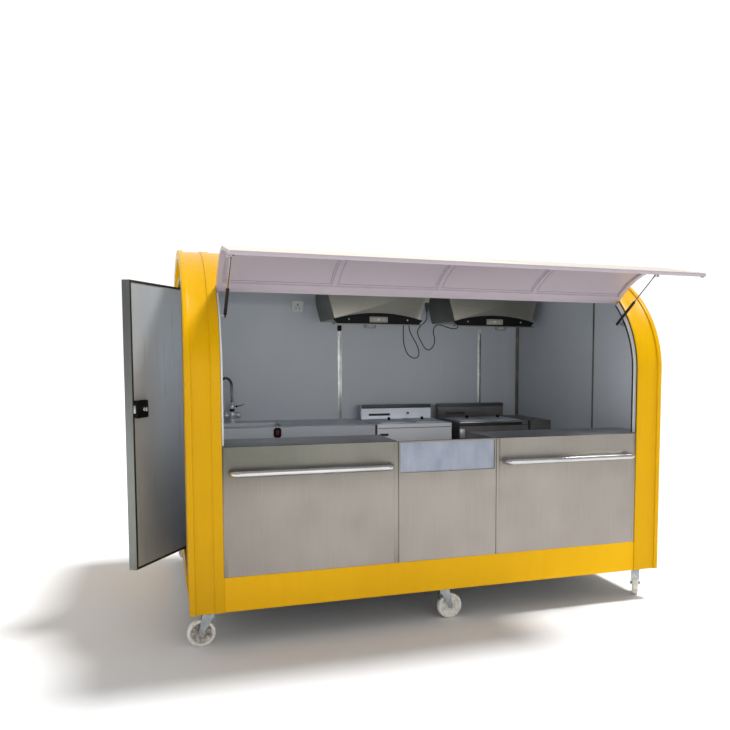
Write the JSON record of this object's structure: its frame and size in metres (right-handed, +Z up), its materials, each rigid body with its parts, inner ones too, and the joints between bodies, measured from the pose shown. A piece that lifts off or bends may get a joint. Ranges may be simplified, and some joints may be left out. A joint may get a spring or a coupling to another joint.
{
  "type": "food kiosk",
  "caption": "Arched mobile food kiosk on six casters with a swing-up front awning, side door, stainless counters, sink, two fryers and two hoods.",
  "frame": {"origin": "middle of the bounding box footprint at rest, on the ground under the wheels", "axes": "+X right along the serving front, +Y from the serving front to the back, +Z up"},
  "size_m": [3.211, 2.7594, 2.223],
  "materials": {
    "yellow_panel": "gloss",
    "stainless": "brushed",
    "liner": "satin",
    "cabin_panel": "satin",
    "appliance_steel": "brushed",
    "frame_steel": "satin",
    "black_plastic": "matte",
    "red_plastic": "gloss",
    "wheel_plastic": "matte",
    "display_glass": "clear",
    "chrome": "polished",
    "cable_rubber": "matte"
  },
  "bodies": {
    "shell": {"chassis_frame": "frame_steel", "floor_plate": "frame_steel", "left_arch": "yellow_panel", "right_arch": "yellow_panel", "roof_shell": "yellow_panel", "rear_wall": "yellow_panel", "left_end_wall": "cabin_panel", "right_end_wall": "cabin_panel", "front_skirt": "yellow_panel", "left_fascia": "stainless", "left_worktop": "stainless", "left_rail": "stainless", "right_fascia": "stainless", "right_worktop": "stainless", "right_rail": "stainless", "centre_fascia": "stainless", "counter_glass": "display_glass", "door_hinge": "stainless", "sink_table": "stainless", "faucet_body": "chrome", "fryer_1_cabinet": "stainless", "fryer_2_cabinet": "appliance_steel", "end_table": "stainless", "hood_1_body": "appliance_steel", "hood_2_body": "appliance_steel", "hood_1_cable": "cable_rubber", "hood_2_cable": "cable_rubber", "cable_plug": "cable_rubber"},
    "awning": {"awning_skin": "yellow_panel", "awning_frame": "liner"},
    "strut_cylinder_left": {"strut_cylinder_left": "black_plastic"},
    "strut_rod_left": {"strut_rod_left": "chrome"},
    "strut_cylinder_right": {"strut_cylinder_right": "black_plastic"},
    "strut_rod_right": {"strut_rod_right": "chrome"},
    "door": {"door_panel": "cabin_panel", "door_lock": "black_plastic"},
    "lock_knob": {"door_lock_knob": "chrome"},
    "caster_front_left": {"caster_fork_front_left": "stainless"},
    "wheel_front_left": {"caster_wheel_front_left": "wheel_plastic"},
    "caster_front_middle": {"caster_fork_front_middle": "stainless"},
    "wheel_front_middle": {"caster_wheel_front_middle": "wheel_plastic"},
    "caster_front_right": {"caster_fork_front_right": "stainless"},
    "wheel_front_right": {"caster_wheel_front_right": "wheel_plastic"},
    "caster_rear_left": {"caster_fork_rear_left": "stainless"},
    "wheel_rear_left": {"caster_wheel_rear_left": "wheel_plastic"},
    "caster_rear_middle": {"caster_fork_rear_middle": "stainless"},
    "wheel_rear_middle": {"caster_wheel_rear_middle": "wheel_plastic"},
    "caster_rear_right": {"caster_fork_rear_right": "stainless"},
    "wheel_rear_right": {"caster_wheel_rear_right": "wheel_plastic"},
    "spout": {"faucet_spout": "chrome"},
    "tap_lever": {"faucet_lever": "chrome"},
    "rocker": {"switch_rocker": "red_plastic"},
    "lid_1_left": {"fryer_1_lid_left": "stainless"},
    "lid_1_right": {"fryer_1_lid_right": "stainless"},
    "knob_1": {"fryer_1_knob": "black_plastic"},
    "lid_2_left": {"fryer_2_lid_left": "appliance_steel"},
    "lid_2_right": {"fryer_2_lid_right": "appliance_steel"},
    "knob_2": {"fryer_2_knob": "black_plastic"},
    "hood_switch_1": {"hood_1_switch": "stainless"},
    "hood_switch_2": {"hood_2_switch": "stainless"}
  },
  "joints": [
    {"name": "awning_hinge", "type": "hinge", "parent": "shell", "child": "awning", "pos_m": [0.15066, -0.49398, 1.94789], "axis": [1, 0, 0], "range_deg": [0, 79.8]},
    {"name": "strut_tilt_left", "type": "hinge", "parent": "shell", "child": "strut_cylinder_left", "pos_m": [-1.07834, -0.55025, 1.78471], "axis": [1, 0, 0], "range_deg": [-0.5, 98.05]},
    {"name": "strut_slide_left", "type": "slide", "parent": "strut_cylinder_left", "child": "strut_rod_left", "axis": [0, 0.8326, -0.5539], "range_m": [-0.001, 0.18644]},
    {"name": "strut_tilt_right", "type": "hinge", "parent": "shell", "child": "strut_cylinder_right", "pos_m": [1.37966, -0.55025, 1.78471], "axis": [1, 0, 0], "range_deg": [-0.5, 98.05]},
    {"name": "strut_slide_right", "type": "slide", "parent": "strut_cylinder_right", "child": "strut_rod_right", "axis": [0, 0.8326, -0.5539], "range_m": [-0.001, 0.18644]},
    {"name": "door_hinge_pin", "type": "hinge", "parent": "shell", "child": "door", "pos_m": [-1.30234, 0.28351, 1.1675], "axis": [0, 0, 1], "range_deg": [-88.8, 31.2]},
    {"name": "lock_knob_turn", "type": "hinge", "parent": "door", "child": "lock_knob", "pos_m": [-1.50678, -0.20388, 1.265], "axis": [0.8554, -0.518, 0], "range_deg": [0, 90]},
    {"name": "caster_swivel_front_left", "type": "hinge", "parent": "shell", "child": "caster_front_left", "pos_m": [-1.19833, -0.63929, 0.1887], "axis": [0, 0, 1], "continuous": true},
    {"name": "wheel_roll_front_left", "type": "hinge", "parent": "caster_front_left", "child": "wheel_front_left", "pos_m": [-1.23833, -0.63929, 0.075], "axis": [0, -1, 0], "continuous": true},
    {"name": "caster_swivel_front_middle", "type": "hinge", "parent": "shell", "child": "caster_front_middle", "pos_m": [0.15066, -0.63929, 0.1887], "axis": [0, 0, 1], "continuous": true},
    {"name": "wheel_roll_front_middle", "type": "hinge", "parent": "caster_front_middle", "child": "wheel_front_middle", "pos_m": [0.19067, -0.63929, 0.075], "axis": [0, 1, 0], "continuous": true},
    {"name": "caster_swivel_front_right", "type": "hinge", "parent": "shell", "child": "caster_front_right", "pos_m": [1.49967, -0.63929, 0.1887], "axis": [0, 0, 1], "continuous": true},
    {"name": "wheel_roll_front_right", "type": "hinge", "parent": "caster_front_right", "child": "wheel_front_right", "pos_m": [1.52203, -0.60613, 0.075], "axis": [-0.829, 0.5592, 0], "continuous": true},
    {"name": "caster_swivel_rear_left", "type": "hinge", "parent": "shell", "child": "caster_rear_left", "pos_m": [-1.19833, 1.27871, 0.1887], "axis": [0, 0, 1], "continuous": true},
    {"name": "wheel_roll_rear_left", "type": "hinge", "parent": "caster_rear_left", "child": "wheel_rear_left", "pos_m": [-1.23592, 1.29239, 0.075], "axis": [-0.342, -0.9397, 0], "continuous": true},
    {"name": "caster_swivel_rear_middle", "type": "hinge", "parent": "shell", "child": "caster_rear_middle", "pos_m": [0.15066, 1.27871, 0.1887], "axis": [0, 0, 1], "continuous": true},
    {"name": "wheel_roll_rear_middle", "type": "hinge", "parent": "caster_rear_middle", "child": "wheel_rear_middle", "pos_m": [0.18825, 1.29239, 0.075], "axis": [-0.342, 0.9397, 0], "continuous": true},
    {"name": "caster_swivel_rear_right", "type": "hinge", "parent": "shell", "child": "caster_rear_right", "pos_m": [1.49967, 1.27871, 0.1887], "axis": [0, 0, 1], "continuous": true},
    {"name": "wheel_roll_rear_right", "type": "hinge", "parent": "caster_rear_right", "child": "wheel_rear_right", "pos_m": [1.53431, 1.25871, 0.075], "axis": [0.5, 0.866, 0], "continuous": true},
    {"name": "spout_swing", "type": "hinge", "parent": "shell", "child": "spout", "pos_m": [-0.89933, 1.20971, 1.2003], "axis": [0, 0, 1], "range_deg": [-60, 60]},
    {"name": "tap_lever_lift", "type": "hinge", "parent": "shell", "child": "tap_lever", "pos_m": [-0.86704, 1.20971, 1.185], "axis": [0, -1, 0], "range_deg": [0, 25]},
    {"name": "switch_rock", "type": "hinge", "parent": "shell", "child": "rocker", "pos_m": [-0.63233, 0.68341, 1.022], "axis": [1, 0, 0], "range_deg": [-5, 5]},
    {"name": "lid_1_left_lift", "type": "slide", "parent": "shell", "child": "lid_1_left", "axis": [0, 0, 1], "range_m": [0, 0.12]},
    {"name": "lid_1_right_lift", "type": "slide", "parent": "shell", "child": "lid_1_right", "axis": [0, 0, 1], "range_m": [0, 0.12]},
    {"name": "fryer_knob_1_turn", "type": "hinge", "parent": "shell", "child": "knob_1", "pos_m": [0.40166, 0.67741, 0.892], "axis": [0, 1, 0], "range_deg": [0, 270]},
    {"name": "lid_2_left_lift", "type": "slide", "parent": "shell", "child": "lid_2_left", "axis": [0, 0, 1], "range_m": [0, 0.12]},
    {"name": "lid_2_right_lift", "type": "slide", "parent": "shell", "child": "lid_2_right", "axis": [0, 0, 1], "range_m": [0, 0.12]},
    {"name": "fryer_knob_2_turn", "type": "hinge", "parent": "shell", "child": "knob_2", "pos_m": [1.05866, 0.67741, 0.892], "axis": [0, 1, 0], "range_deg": [0, 270]},
    {"name": "hood_switch_1_press", "type": "slide", "parent": "shell", "child": "hood_switch_1", "axis": [0, 1, 0], "range_m": [0, 0.0025], "stiffness_N_per_m": 200},
    {"name": "hood_switch_2_press", "type": "slide", "parent": "shell", "child": "hood_switch_2", "axis": [0, 1, 0], "range_m": [0, 0.0025], "stiffness_N_per_m": 200}
  ],
  "couplings": [
    {"joint": "strut_tilt_left", "follows": "awning_hinge", "ratio": 1.2224},
    {"joint": "strut_slide_left", "follows": "awning_hinge", "m_per_rad": 0.13315},
    {"joint": "strut_tilt_right", "follows": "awning_hinge", "ratio": 1.2224},
    {"joint": "strut_slide_right", "follows": "awning_hinge", "m_per_rad": 0.13315}
  ]
}
